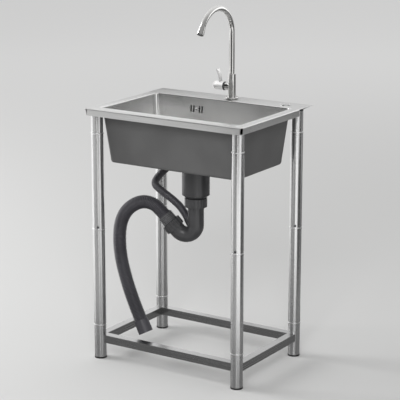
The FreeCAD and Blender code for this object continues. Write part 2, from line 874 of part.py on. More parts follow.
def make_rail(label, left, near, wide, long, posts, butt=None):
    # A square tube between two legs, its ends shaped to the leg stubs that they are welded to.
    outer = place(block(label + "_outer", wide, long, "rail_side"), left, near, "rail_bottom")
    along_x = label in ("rail_front", "rail_rear")
    trim_x = "0" if along_x else "rail_wall"
    trim_y = "rail_wall" if along_x else "0"
    hollow = "rail_side - 2 * rail_wall"
    inner = block(label + "_inner", f"{wide} - 2 * {trim_x}", f"{long} - 2 * {trim_y}", hollow)
    place(inner, f"{left} + {trim_x}", f"{near} + {trim_y}", "rail_bottom + rail_wall")
    tools = [inner]
    for number, (right, back) in enumerate(posts):
        post = rod(f"{label}_post_{number}", "leg_radius - stub_step + weld_gap", "2 * rail_side")
        tools.append(place(post, right, back, "rail_bottom - rail_side / 2"))
    for number, (right, back) in enumerate(butt or []):
        end = block(
            f"{label}_butt_{number}", "2 * leg_half_span", "rail_side + 2 * weld_gap", "2 * rail_side")
        place(end, right, f"{back} - weld_gap", "rail_bottom - rail_side / 2")
        tools.append(end)
    keep(carved(label, outer, tools), label)


def make_stand():
    legs = {
        "leg_front_left": ("-leg_half_span", "leg_front", size("front_left_turn")),
        "leg_front_right": ("leg_half_span", "leg_front", size("front_right_turn")),
        "leg_rear_left": ("-leg_half_span", "leg_rear", size("rear_left_turn")),
        "leg_rear_right": ("leg_half_span", "leg_rear", size("rear_right_turn")),
    }
    screws = [make_leg(tag, *spot) for tag, spot in legs.items()]
    group = doc.addObject("Part::Compound", "lock_screw_group")
    group.Links = screws
    keep(group, "leg_lock_screws")
    spots = [(right, back) for right, back, turn in legs.values()]
    front_near = "leg_front + rail_inset - rail_side / 2"
    rear_near = "leg_rear - rail_inset - rail_side / 2"
    span = "2 * leg_half_span"
    make_rail("rail_front", "-leg_half_span", front_near, span, "rail_side", spots[:2])
    make_rail("rail_rear", "-leg_half_span", rear_near, span, "rail_side", spots[2:])
    reach = "leg_rear - leg_front"
    ends = [("-leg_half_span", front_near), ("-leg_half_span", rear_near)]
    for label, side, posts in (
        ("rail_left", "-leg_half_span", (spots[0], spots[2])),
        ("rail_right", "leg_half_span", (spots[1], spots[3])),
    ):
        make_rail(label, f"{side} - rail_side / 2", "leg_front", "rail_side", f"({reach})", posts, ends)


def make_waste():
    # The basket waste: flange cup, gasket, plastic pot, its central screw and the coupling nut.
    cup_bottom = f"{floor_top} - cup_deep"
    lip_top = f"{floor_top} + lip_thick"
    cup_inner = "cup_radius - cup_wall"
    cup = turned("waste_cup", [
        ("lip_radius", floor_top), ("lip_radius", lip_top), (cup_inner, lip_top),
        (cup_inner, f"{cup_bottom} + cup_wall"), ("screw_radius + screw_slip", f"{cup_bottom} + cup_wall"),
        ("screw_radius + screw_slip", cup_bottom), ("cup_radius", cup_bottom), ("cup_radius", floor_top)])
    place(cup, "0", "bowl_middle")
    ports = ring_of_rods("cup_port", int(size("cup_ports")), "port_radius", "cup_wall + 2 * cut_overrun",
                         "port_ring", f"{cup_bottom} - cut_overrun", "0", "bowl_middle")
    keep(carved("drain_flange", cup, ports), "drain_flange")
    pot_top = f"{bowl_bottom} - seal_thick"
    gasket = turned("waste_gasket", oblong("seal_inner", "seal_outer", pot_top, bowl_bottom))
    keep(place(gasket, "0", "bowl_middle"), "drain_gasket")
    pot_inner = "pot_radius - pot_wall"
    pot = turned("waste_pot", [
        (pot_inner, pot_top), ("seal_outer", pot_top), ("seal_outer", f"{pot_top} - pot_rim"),
        ("pot_radius", f"{pot_top} - pot_rim"), ("pot_radius", "pot_bottom"), ("neck_radius", "neck_top"),
        ("neck_radius", "neck_bottom"), ("neck_bore", "neck_bottom"), ("neck_bore", "neck_top"),
        (pot_inner, "pot_bottom + pot_wall")])
    bridge = block("pot_bridge", "2 * pot_radius - pot_wall", "bridge_thick", "bridge_thick")
    place(bridge, "-pot_radius + pot_wall / 2", "-bridge_thick / 2", "boss_bottom")
    boss = place(rod("pot_boss", "boss_radius", f"{cup_bottom} - boss_bottom"), "0", "0", "boss_bottom")
    bore = rod("pot_boss_bore", "screw_radius + screw_slip", f"{cup_bottom} - boss_bottom + 2 * cut_overrun")
    place(bore, "0", "0", "boss_bottom - cut_overrun")
    body = carved("pot_body", joined("pot_joined", [pot, bridge, boss]), [bore])
    keep(place(body, "0", "bowl_middle"), "drain_body")
    screw = turned("waste_screw", [
        ("0", "boss_bottom"), ("screw_radius", "boss_bottom"), ("screw_radius", f"{cup_bottom} + cup_wall"),
        ("screw_head", f"{cup_bottom} + cup_wall"), ("screw_head", f"{cup_bottom} + cup_wall + screw_rise"),
        ("0", f"{cup_bottom} + cup_wall + screw_rise")])
    keep(place(screw, "0", "bowl_middle"), "drain_screw")
    nut = turned("waste_nut", [
        ("trap_radius + nut_slip", "nut_bottom"), ("nut_radius", "nut_bottom"), ("nut_radius", "neck_top"),
        ("neck_radius + nut_slip", "neck_top"), ("neck_radius + nut_slip", "nut_bottom + nut_lip"),
        ("trap_radius + nut_slip", "nut_bottom + nut_lip")])
    grips = ring_of_rods(
        "nut_grip", int(size("grip_count")), "grip_radius", "neck_top - nut_bottom + 2 * cut_overrun",
        "(nut_radius + grip_radius / 2)", "nut_bottom - cut_overrun")
    keep(place(carved("nut_body", nut, grips), "0", "bowl_middle"), "drain_nut")
    flange_top = "nut_bottom + nut_lip + flange_thick"
    seal = turned("neck_seal", oblong("neck_bore", "trap_flange", flange_top, "neck_bottom"))
    keep(place(seal, "0", "bowl_middle"), "trap_seal")


def make_basket():
    # The lift-out strainer basket and its stem with a knob.
    seat = f"{floor_top} + lip_thick + basket_gap"
    bottom = f"{seat} - basket_deep"
    inner = "basket_radius - basket_wall"
    shell = turned("basket_shell", [
        ("basket_rim", seat), ("basket_rim", f"{seat} + basket_wall"), (inner, f"{seat} + basket_wall"),
        (inner, f"{bottom} + basket_wall"), ("stem_radius + stem_slip", f"{bottom} + basket_wall"),
        ("stem_radius + stem_slip", bottom), ("basket_radius", bottom), ("basket_radius", seat)])
    holes = []
    for ring in ("mesh_near", "mesh_far"):
        holes += ring_of_rods(f"{ring}_hole", int(size(f"{ring}_count")), "mesh_radius",
                              "basket_wall + 2 * cut_overrun", ring, f"{bottom} - cut_overrun")
    for row in range(int(size("wall_mesh_rows"))):
        for index in range(int(size("wall_mesh_count"))):
            angle = 360 * index / int(size("wall_mesh_count"))
            hole = rod(f"wall_mesh_{row}_{index}", "wall_mesh_radius", "basket_radius")
            turn = FreeCAD.Rotation(vector(0, 0, 1), angle) * FreeCAD.Rotation(vector(0, 1, 0), 90)
            across = f"basket_radius / 2 * cos({angle})"
            along = f"basket_radius / 2 * sin({angle})"
            rise = f"{bottom} + ({row} + 1) * wall_mesh_step"
            holes.append(place(hole, across, along, rise, turn))
    keep(place(carved("basket_body", shell, holes), "0", "bowl_middle"), "strainer_basket")
    stem_top = f"{seat} + basket_wall + stem_rise"
    collar = f"{bottom} + basket_wall"
    knob = turned("basket_stem", [
        ("0", f"{bottom} - collar_thick"), ("stem_radius", f"{bottom} - collar_thick"),
        ("stem_radius", collar), ("stem_collar", collar), ("stem_collar", f"{collar} + collar_thick"),
        ("stem_radius", f"{collar} + collar_thick"), ("stem_radius", stem_top), ("knob_radius", stem_top),
        ("knob_radius", f"{stem_top} + knob_height - knob_round"),
        ("knob_radius - knob_round", f"{stem_top} + knob_height"), ("0", f"{stem_top} + knob_height")])
    keep(place(knob, "0", "bowl_middle"), "basket_knob")


def make_trap():
    # The trap pipe: straight tail, tight U-bend and rising arm, with a side inlet for the overflow hose.
    axis = vector(0, size("bowl_middle"), 0)
    mouth = vector(*drain_route[0])
    along = (vector(*drain_route[1]) - mouth).normalize()
    out = math.hypot(mouth.x - axis.x, mouth.y - axis.y)
    slope = along.z / math.hypot(along.x, along.y)
    corner = axis + vector(0, 0, mouth.z - out * slope)
    flange_bottom = size("nut_bottom + nut_lip")
    head = axis + vector(0, 0, flange_bottom + size("flange_thick"))
    path = round_path([head, corner, mouth], [size("trap_bend")])
    bore = swept(path, size("trap_radius - trap_wall"))
    pipe = swept(path, size("trap_radius"))
    collar = Part.makeCylinder(size("trap_flange"), size("flange_thick"), axis + vector(0, 0, flange_bottom))
    tip = vector(*overflow_route[-1])
    inward = (tip - vector(*overflow_route[-2])).normalize()
    to_axis = math.hypot(tip.x - axis.x, tip.y - axis.y) / math.hypot(inward.x, inward.y)
    entry = tip - inward * size("spigot_in")
    branch = Part.makeCylinder(size("branch_radius"), to_axis, tip, inward)
    spigot = Part.makeCylinder(size("spigot_radius"), to_axis, entry, inward)
    inlet = Part.makeCylinder(size("spigot_bore"), to_axis + size("spigot_in"), entry, inward)
    body = pipe.fuse([collar, branch, spigot]).cut(bore).cut(inlet).removeSplitter()
    keep(fixed("trap_body", body.Solids[0]), "trap_pipe")
    nut = turned("arm_nut", [
        ("trap_radius + nut_slip", "-slip_nut_long"), ("slip_nut_radius", "-slip_nut_long"),
        ("slip_nut_radius", "slip_nut_over"), ("hose_radius + hose_slip", "slip_nut_over"),
        ("hose_radius + hose_slip", "0"), ("trap_radius + nut_slip", "0")])
    grips = ring_of_rods("arm_grip", int(size("grip_count")), "grip_radius", "2 * slip_nut_long",
                         "(slip_nut_radius + grip_radius / 2)", "-slip_nut_long - nut_lip")
    keep(set_along(carved("arm_nut_body", nut, grips), mouth, along), "trap_slip_nut")
    collar_top = "slip_nut_over + collar_long"
    sleeve_outline = oblong("hose_radius + hose_slip", "collar_radius", "slip_nut_over", collar_top)
    sleeve = turned("hose_sleeve", sleeve_outline)
    keep(set_along(sleeve, mouth, along), "hose_collar")


def make_hoses():
    hose = ribbed_hose("drain_hose_body", drain_route, "hose_radius", "hose_valley", "hose_bore", "hose_ribs")
    keep(hose, "drain_hose")
    end = vector(*drain_route[-1])
    back = (vector(*drain_route[-2]) - end).normalize()
    cuff = turned("hose_cuff", oblong("hose_radius + hose_slip", "cuff_radius", "0", "cuff_long"))
    keep(set_along(cuff, end, back), "hose_end_cuff")
    tube = ("overflow_radius", "overflow_valley", "overflow_bore", "overflow_ribs")
    keep(ribbed_hose("overflow_hose_body", overflow_route, *tube), "overflow_hose")


def make_overflow():
    # Gasket, housing and screw on the outside of the rear wall, square to its slope.
    slope = FreeCAD.Rotation(vector(1, 0, 0), -math.degrees(math.atan(size("bowl_draft / bowl_depth"))))
    seat = FreeCAD.Placement(vector(size("slot_middle"), size(wall_face), size("slot_height")), slope)
    level = FreeCAD.Rotation(vector(1, 0, 0), -90)
    window_wide = "(housing_wide - 2 * housing_wall)"
    window_tall = "(housing_tall - 2 * housing_wall)"
    frame = block("gasket_block", "housing_wide", "gasket_thick", "housing_tall")
    place(frame, "-housing_wide / 2", "0", "-housing_tall / 2")
    window = block("gasket_window", window_wide, "2 * gasket_thick", window_tall)
    place(window, f"-{window_wide} / 2", "-gasket_thick / 2", f"-{window_tall} / 2")
    gasket = carved("gasket_body", frame, [window])
    gasket.Placement = seat
    keep(gasket, "overflow_gasket")
    outer = block("housing_block", "housing_wide", "housing_deep", "housing_tall")
    place(outer, "-housing_wide / 2", "gasket_thick", "-housing_tall / 2")
    hollow = block("housing_hollow", window_wide, "housing_deep - housing_wall", window_tall)
    place(hollow, f"-{window_wide} / 2", "gasket_thick", f"-{window_tall} / 2")
    pillar = rod("housing_pillar", "pillar_radius", "housing_deep - housing_wall / 2")
    place(pillar, "0", "gasket_thick", "0", level)
    thread = rod("housing_thread", "wall_screw_radius + screw_slip", "housing_deep")
    place(thread, "0", "0", "0", level)
    tray = joined("housing_tray", [carved("housing_shell", outer, [hollow]), pillar])
    housing = carved("housing_threaded", tray, [thread])
    housing.Placement = seat
    along = (vector(*overflow_route[1]) - vector(*overflow_route[0])).normalize()
    start_y = size("rim_depth / 2 - outlet_inset")
    start = vector(size("slot_middle - outlet_left"), start_y, size("slot_height - outlet_drop"))
    back = start - along * size("outlet_back")
    neck = set_along(rod("outlet_neck", "outlet_radius", "outlet_back"), back, along)
    nipple = set_along(rod("outlet_nipple", "spigot_radius", "outlet_back + spigot_in"), back, along)
    bore = set_along(rod("outlet_bore", "spigot_bore", "outlet_back + 2 * spigot_in"), back, along)
    whole = joined("overflow_joined", [housing, neck, nipple])
    keep(carved("overflow_body", whole, [bore]), "overflow_housing")
    face = "sheet_thick * cos(atan(bowl_draft / bowl_depth))"
    screw = turned("wall_screw", [
        ("0", f"{face} + wall_screw_rise"), ("wall_screw_head", face), ("wall_screw_radius", face),
        ("wall_screw_radius", "-housing_deep / 2"), ("0", "-housing_deep / 2")])
    screw.Placement = seat * FreeCAD.Placement(vector(), FreeCAD.Rotation(vector(1, 0, 0), 90))
    keep(screw, "overflow_screw")


def make_tap():
    # Gasket, base ring, body, threaded tail, clamp washer and nut on the tap's own upright axis.
    ring_bottom = "rim_height + tap_seal_thick"
    ring_top = f"{ring_bottom} + base_thick"
    deck_low = "rim_height - sheet_thick"
    at_tap = ("tap_right", "tap_back")
    tail_hole = "shank_radius + shank_slip"
    seal = turned("tap_seal", oblong("tap_hole", "tap_seal_radius", "rim_height", ring_bottom))
    keep(place(seal, *at_tap), "tap_gasket")
    ring = turned("base_ring", [
        (tail_hole, ring_bottom), ("base_radius", ring_bottom), ("base_radius", f"{ring_top} - base_bevel"),
        ("base_radius - base_bevel", ring_top), (tail_hole, ring_top)])
    keep(place(ring, *at_tap), "tap_base_ring")
    socket = "spout_radius + spout_slip"
    socket_floor = "tap_top - spout_in"
    tail_top = f"{ring_top} + shank_in"
    column = turned("tap_column", [
        (tail_hole, ring_top), ("tap_radius", ring_top), ("tap_radius", "tap_top - tap_bevel"),
        ("tap_radius - tap_bevel", "tap_top"), (socket, "tap_top"), (socket, socket_floor),
        ("water_bore", socket_floor), ("water_bore", tail_top), (tail_hole, tail_top)])
    boss = place(rod("valve_boss", "side_boss", "boss_reach"), "0", "0", "valve_height", sideways)
    water = place(rod("water_way", "water_bore", f"{socket_floor} - ({tail_top})"), "0", "0", tail_top)
    pocket = rod("valve_pocket", "cartridge_radius + shank_slip", "boss_reach")
    place(pocket, "-cartridge_start", "0", "valve_height", sideways)
    body = carved("tap_casting", joined("tap_joined", [column, boss]), [water, pocket])
    keep(place(body, *at_tap), "tap_body")
    tail_step = "shank_bottom + tail_long"
    tail = turned("tap_tail", [
        ("water_bore", "shank_bottom"), ("tail_radius", "shank_bottom"), ("tail_radius", tail_step),
        ("shank_radius", tail_step), ("shank_radius", tail_top), ("water_bore", tail_top)])
    keep(place(tail, *at_tap), "tap_shank")
    washer_low = f"{deck_low} - washer_thick"
    washer = turned("clamp_washer", oblong(tail_hole, "washer_radius", washer_low, deck_low))
    keep(place(washer, *at_tap), "tap_washer")
    nut = hex_nut("clamp_nut", "tap_nut_radius", "tap_nut_thick", tail_hole, f"{washer_low} - tap_nut_thick")
    keep(place(nut, *at_tap), "tap_nut")


def hex_nut(name, radius, thick, bore, bottom):
    prism = doc.addObject("Part::Prism", name + "_prism")
    prism.Polygon = 6
    bind(prism, "Circumradius", radius)
    bind(prism, "Height", thick)
    place(prism, "0", "0", bottom)
    hole = rod(name + "_bore", bore, f"{thick} + 2 * cut_overrun")
    place(hole, "0", "0", f"{bottom} - cut_overrun")
    return carved(name, prism, [hole])


def make_spout():
    # The gooseneck: an upright run and two bends towards the front, then the flared aerator.
    axis = vector(size("tap_right"), size("tap_back"), 0)
    forward = vector(0, -1, 0)
    up = vector(0, 0, 1)
    turn = math.radians(size("far_turn"))
    far_reach = size("near_bend") + size("far_bend") * math.tan(turn / 2)
    ahead = forward * math.cos(turn) - up * math.sin(turn)
    start = axis + up * size("tap_top - spout_in + spout_rest")
    first = axis + up * size("spout_apex")
    second = first + forward * far_reach
    sleeve_end = size("far_bend") * math.tan(turn / 2) + size("aerator_sleeve")
    mouth = second + ahead * sleeve_end
    path = round_path([start, first, second, mouth], [size("near_bend"), size("far_bend")])
    pipe = swept(path, size("spout_radius")).cut(swept(path, size("spout_radius - spout_wall")))
    keep(fixed("spout_pipe", pipe.Solids[0]), "tap_spout")
    neck = "spout_radius + screw_slip"
    shell_end = "aerator_long - aerator_sleeve"
    shell = turned("aerator_shell", [
        (neck, "-aerator_sleeve"), ("aerator_neck", "-aerator_sleeve"), ("aerator_radius", shell_end),
        ("insert_radius", shell_end), ("insert_radius", "0"), (neck, "0")])
    keep(set_along(shell, mouth, ahead), "aerator_housing")
    insert_end = f"{shell_end} + insert_proud"
    insert_fit = "insert_radius - screw_slip"
    insert = turned("aerator_core", [
        ("0", f"{insert_end} - insert_thick"), (insert_fit, f"{insert_end} - insert_thick"),
        (insert_fit, insert_end), ("0", insert_end)])
    keep(set_along(insert, mouth, ahead), "aerator_insert")


def make_valve():
    # Quarter-turn cartridge, black ring, hub and lever on the valve's level axis, out to the left.
    at_valve = ("tap_right", "tap_back", "valve_height", sideways)
    ring_end = "boss_reach + ring_thick"
    nose_end = f"{ring_end} + cartridge_nose"
    core = turned("valve_core", [
        ("0", "cartridge_start"), ("cartridge_radius", "cartridge_start"), ("cartridge_radius", nose_end),
        ("spindle_radius", nose_end), ("spindle_radius", "spindle_end"), ("0", "spindle_end")])
    keep(place(core, *at_valve), "valve_cartridge")
    ring_bore = "cartridge_radius + shank_slip"
    ring = turned("valve_band", oblong(ring_bore, "ring_radius", "boss_reach", ring_end))
    keep(place(ring, *at_valve), "valve_ring")
    hub_start = f"{ring_end} + hub_gap"
    nose_clear = f"{nose_end} + hub_slip"
    spindle_clear = "spindle_end + hub_slip"
    hub = turned("handle_hub", [
        ("cartridge_radius + hub_slip", hub_start), ("hub_radius", hub_start),
        ("hub_radius", "hub_end - hub_round"), ("hub_radius - hub_round", "hub_end"), ("0", "hub_end"),
        ("0", spindle_clear),
        ("spindle_radius + spindle_slip", spindle_clear), ("spindle_radius + spindle_slip", nose_clear),
        ("cartridge_radius + hub_slip", nose_clear)])
    keep(place(hub, *at_valve), "lever_hub")
    inner = "lever_curve - lever_thick / 2"
    outer = "lever_curve + lever_thick / 2"
    blade = turned("lever_blade", oblong(inner, outer, "-lever_wide / 2", "lever_wide / 2"), "lever_turn")
    upright = FreeCAD.Rotation(vector(1, 0, 0), 90)
    place(blade, "tap_right - lever_reach - lever_curve", "tap_back", "valve_height + lever_start", upright)
    round_hub = rod("lever_root", "hub_radius", "2 * hub_end")
    place(round_hub, *at_valve)
    keep(carved("lever_cut", blade, [round_hub]), "lever_paddle")


def make_cover():
    # A round cover over the spare deck hole, held by a nut from below.
    top = "rim_height + cover_thick"
    deck_low = "rim_height - sheet_thick"
    at_cover = ("cover_right", "cover_back")
    cap = turned("cover_cap", [
        ("0", "rim_height - cover_stem_long"), ("cover_stem", "rim_height - cover_stem_long"),
        ("cover_stem", "rim_height"), ("cover_radius", "rim_height"),
        ("cover_radius", f"{top} - cover_bevel"), ("cover_radius - cover_bevel", top), ("0", top)])
    keep(place(cap, *at_cover), "hole_cap")
    nut_bottom = f"{deck_low} - cover_nut_thick"
    nut = hex_nut("cover_nut_body", "cover_nut", "cover_nut_thick", "cover_stem + cover_nut_slip", nut_bottom)
    keep(place(nut, *at_cover), "hole_cap_nut")


def write_parts():
    # Every object must have solved, and every piece must be a sound solid, before any file is written.
    doc.recompute()
    faults = [item.Name for item in doc.Objects if "Invalid" in item.State or "Error" in item.State]
    faults += [item.Label for item in pieces if item.Shape.isNull() or not item.Shape.isValid()]
    faults += [item.Label for item in pieces if not item.Shape.Solids]
    if faults:
        raise RuntimeError("failed objects: " + ", ".join(faults))
    os.makedirs("parts", exist_ok=True)
    for item in pieces:
        item.Shape.exportStep(f"parts/{item.Label}.step")
        print(item.Label, "solids", len(item.Shape.Solids), "volume", round(item.Shape.Volume))


sideways = FreeCAD.Rotation(vector(0, 1, 0), -90)

fill_sheet([rim_sizes, bowl_sizes, leg_sizes, rail_sizes, waste_sizes, basket_sizes, trap_sizes,
            hose_sizes, overflow_sizes, tap_sizes, valve_sizes, cover_sizes])
make_basin()
make_undercoat()
make_stand()
make_waste()
make_basket()
make_trap()
make_hoses()
make_overflow()
make_tap()
make_spout()
make_valve()
make_cover()
write_parts()
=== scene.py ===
import bisect
import json
import math

import bmesh
import bpy
from mathutils import Matrix, Vector


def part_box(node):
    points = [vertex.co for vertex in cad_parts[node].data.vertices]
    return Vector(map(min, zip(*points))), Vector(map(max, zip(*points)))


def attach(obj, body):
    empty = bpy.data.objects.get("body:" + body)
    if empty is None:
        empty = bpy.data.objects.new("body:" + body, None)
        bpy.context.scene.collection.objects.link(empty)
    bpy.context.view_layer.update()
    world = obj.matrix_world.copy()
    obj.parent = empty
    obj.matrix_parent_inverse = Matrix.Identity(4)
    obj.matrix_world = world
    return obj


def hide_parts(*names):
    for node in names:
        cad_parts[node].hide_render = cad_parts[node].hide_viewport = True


# Free-standing steel sink: a finish for every piece, and the hoses, clamp ring, deck and leg beads modelled
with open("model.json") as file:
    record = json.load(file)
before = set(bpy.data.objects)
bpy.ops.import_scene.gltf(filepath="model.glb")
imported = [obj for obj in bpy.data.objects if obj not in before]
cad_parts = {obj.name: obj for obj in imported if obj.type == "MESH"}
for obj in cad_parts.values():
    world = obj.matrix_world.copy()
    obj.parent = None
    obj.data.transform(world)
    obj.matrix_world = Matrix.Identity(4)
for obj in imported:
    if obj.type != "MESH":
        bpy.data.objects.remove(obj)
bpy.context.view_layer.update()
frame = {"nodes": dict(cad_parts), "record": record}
nodes = frame["nodes"]
scene = bpy.context.scene
scene.view_settings.view_transform = "Standard"
print("frame loaded:", len(nodes), "nodes")

# the photograph's viewpoint
cameraSetup = {
    "place": (2.5594, -3.9587, 1.7081),
    "turn": 32.87,  # degrees to the left of straight back
    "tilt": 14.30,  # degrees below level
    "lens": 141.3,
    "sensor": 36,
}

camera = bpy.data.objects.new("camera", bpy.data.cameras.new("camera"))
camera.data.lens = cameraSetup["lens"]
camera.data.sensor_width = cameraSetup["sensor"]
camera.location = cameraSetup["place"]
camera.rotation_euler = (math.radians(90 - cameraSetup["tilt"]), 0, math.radians(cameraSetup["turn"]))
scene.collection.objects.link(camera)
scene.camera = camera
print("camera set")

# meshes and routes
weldGap = 1e-7  # metres: corners this close become one
sameSpot = 1e-6  # metres: places this close count as the same
orderDigits = 6  # decimals of a place that count when a mesh is put in order


def fixOrder(elements, spotOf):
    # operators leave corners and faces in an order that changes from run to run; their places do not
    ordered = sorted(elements, key=lambda element: [round(along, orderDigits) for along in spotOf(element)])
    for index, element in enumerate(ordered):
        element.index = index
    elements.sort()


def finishMesh(bm, name, smoothAngle=None):
    fixOrder(bm.verts, lambda vert: vert.co)
    fixOrder(bm.faces, lambda face: face.calc_center_median())
    mesh = bpy.data.meshes.new(name)
    bm.to_mesh(mesh)
    bm.free()
    piece = bpy.data.objects.new(name, mesh)
    scene.collection.objects.link(piece)
    if smoothAngle is not None:
        mesh.shade_smooth()
        mesh.set_sharp_from_angle(angle=math.radians(smoothAngle))
    return piece


def routeLine(name, points, fineness):
    # the route's own smooth line, read back from its spline
    curve = bpy.data.curves.new(name, "CURVE")
    curve.dimensions = "3D"
    curve.resolution_u = fineness
    spline = curve.splines.new("NURBS")
    spline.points.add(len(points) - 1)
    for point, spot in zip(spline.points, points):
        point.co = (*spot, 1)
    spline.order_u = 3
    spline.use_endpoint_u = True
    holder = bpy.data.objects.new(name, curve)
    mesh = bpy.data.meshes.new_from_object(holder)
    line = [v.co.copy() for v in mesh.vertices]
    bpy.data.objects.remove(holder)
    bpy.data.meshes.remove(mesh)
    bpy.data.curves.remove(curve)
    return line


def walkLine(line, distances):
    # place and direction on the line at growing distances
    spots = []
    index, passed = 0, 0.0
    for distance in distances:
        while index < len(line) - 2 and distance > passed + (line[index + 1] - line[index]).length:
            passed += (line[index + 1] - line[index]).length
            index += 1
        run = line[index + 1] - line[index]
        before = (line[index] - line[index - 1]) if index else run
        after = (line[index + 2] - line[index + 1]) if index + 2 < len(line) else run
        share = (distance - passed) / run.length
        early = (before.normalized() + run.normalized()).normalized()
        late = (run.normalized() + after.normalized()).normalized()
        spots.append((line[index] + run * share, early.lerp(late, share).normalized()))
    return spots


def lineLength(line):
    return sum((b - a).length for a, b in zip(line, line[1:]))


def spinTube(bm, outline, around):
    # a closed ring of wall, spun once round Z from its outline of (radius, height)
    corners = [bm.verts.new((radius, 0, height)) for radius, height in outline]
    edges = [bm.edges.new(pair) for pair in zip(corners, corners[1:] + corners[:1])]
    bmesh.ops.spin(bm, geom=corners + edges, cent=(0, 0, 0), axis=(0, 0, 1), angle=2 * math.pi,
                   steps=around, use_merge=True)
    bmesh.ops.remove_doubles(bm, verts=bm.verts, dist=weldGap)
    bmesh.ops.recalc_face_normals(bm, faces=bm.faces)


# the two hoses, by their routes in metres
drainHose = {
    "route": [
        (-0.0722, -0.0502, 0.4355), (-0.1096, -0.0653, 0.4806), (-0.1293, -0.073, 0.4955),
        (-0.161, -0.083, 0.4985), (-0.1955, -0.092, 0.4805), (-0.222, -0.099, 0.448),
        (-0.232, -0.106, 0.3975), (-0.2245, -0.112, 0.3205), (-0.196, -0.117, 0.238),
        (-0.158, -0.1215, 0.1575), (-0.1196, -0.125, 0.088),
    ],
    "crest": 0.021,
    "valley": 0.0191,
    "bore": 0.0168,
    "ribs": 130,
    "around": 40,
    "length": 0.584,
}
overflowHose = {
    "route": [
        (-0.119, 0.141, 0.736), (-0.138, 0.147, 0.694), (-0.16, 0.149, 0.634), (-0.184, 0.128, 0.577),
        (-0.21, 0.088, 0.544), (-0.203, 0.044, 0.523), (-0.152, 0.012, 0.514), (-0.092, -0.005, 0.494),
        (-0.055, -0.012, 0.473), (-0.033, -0.016, 0.445),
    ],
    "crest": 0.012,
    "valley": 0.0109,
    "bore": 0.0093,
    "ribs": 120,
    "around": 28,
    "length": 0.478,
}
hoseRibs = {
    # the corners of one rib, as shares of its pitch and of its height
    "shares": ((0, 0), (0.16, 0.62), (0.3, 1), (0.52, 1), (0.66, 0.62), (0.82, 0)),
    "boreEvery": 2,  # the plain bore has a ring at every second rib
    "fineness": 24,  # steps of the line between two of the route's points
    "smooth": 60,  # degrees: edges flatter than this are shaded round, here and on the pieces below
}


def ribbedHose(name, hose):
    # a straight ribbed tube, out along the ribs and back through the bore, then laid along its route
    line = routeLine(name + "Route", hose["route"], hoseRibs["fineness"])
    total = lineLength(line)
    pitch = total / hose["ribs"]
    rise = hose["crest"] - hose["valley"]
    outline = [(hose["valley"] + height * rise, (rib + share) * pitch)
               for rib in range(hose["ribs"]) for share, height in hoseRibs["shares"]]
    outline.append((hose["valley"], total))
    stops = [distance for radius, distance in outline]
    boreStep = hoseRibs["boreEvery"] * len(hoseRibs["shares"])
    outline += [(hose["bore"], distance) for distance in stops[::-boreStep]]
    bm = bmesh.new()
    spinTube(bm, outline, hose["around"])
    side = Vector((0, 1, 0))
    frames = []
    for spot, along in walkLine(line, stops):
        side = (side - along * side.dot(along)).normalized()
        turn = Matrix((side, along.cross(side), along)).transposed().to_4x4()
        frames.append(Matrix.Translation(spot) @ turn)
    for vert in bm.verts:
        index = bisect.bisect_left(stops, vert.co.z - sameSpot)
        vert.co = frames[index] @ Vector((vert.co.x, vert.co.y, 0))
    return finishMesh(bm, name, hoseRibs["smooth"]), line, total


drainTube, drainLine, drainLong = ribbedHose("drainHoseTube", drainHose)
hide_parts("drain_hose")
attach(drainTube, "stand")
overflowTube, overflowLine, overflowLong = ribbedHose("overflowHoseTube", overflowHose)
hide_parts("overflow_hose")
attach(overflowTube, "stand")
print("hoses made:", round(drainLong, 3), round(overflowLong, 3))

# the ridged clamp ring where the drain hose enters the trap's nut
clampRing = {
    "seat": drainHose["route"][0],
    "toward": drainHose["route"][1],
    "start": 0.004,
    "long": 0.028,
    "bore": 0.0213,
    "valley": 0.0226,
    "crest": 0.0247,
    "shoulder": 0.0004,  # how far the crest's two edges lie below it
    "ridges": 5,
    "ridgeShares": (0, 0.14, 0.22, 0.5, 0.58, 0.72),  # the corners of one ridge, along its pitch
    "around": 72,
    "smooth": 40,
}


def makeClampRing():
    pitch = clampRing["long"] / clampRing["ridges"]
    low, high = clampRing["valley"], clampRing["crest"]
    edge = high - clampRing["shoulder"]
    outline = [(clampRing["bore"], clampRing["start"])]
    for ridge in range(clampRing["ridges"]):
        for share, radius in zip(clampRing["ridgeShares"], (low, edge, high, high, edge, low)):
            outline.append((radius, clampRing["start"] + (ridge + share) * pitch))
    end = clampRing["start"] + clampRing["long"]
    outline += [(low, end), (clampRing["bore"], end)]
    bm = bmesh.new()
    spinTube(bm, outline, clampRing["around"])
    seat = Vector(clampRing["seat"])
    aim = (Vector(clampRing["toward"]) - seat).to_track_quat("Z", "Y").to_matrix().to_4x4()
    bmesh.ops.transform(bm, matrix=Matrix.Translation(seat) @ aim, verts=bm.verts)
    ring = finishMesh(bm, "hoseClampRing", clampRing["smooth"])
    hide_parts("hose_collar")
    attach(ring, "stand")
    return ring


hoseClampRing = makeClampRing()
print("clamp ring made")

# the deck again, with the round folds that its pressed sheet has over the aprons
deckFold = {
    "sheet": 0.001,
    "frontEnd": 0.2724,  # each fold stops just inside its apron's ends
    "sideStart": -0.2009,
    "sideEnd": 0.1289,
    "round": 0.004,
    "steps": 6,
    "flat": 0.3,  # degrees: faces that meet at less than this are one
    "smooth": 32,
}


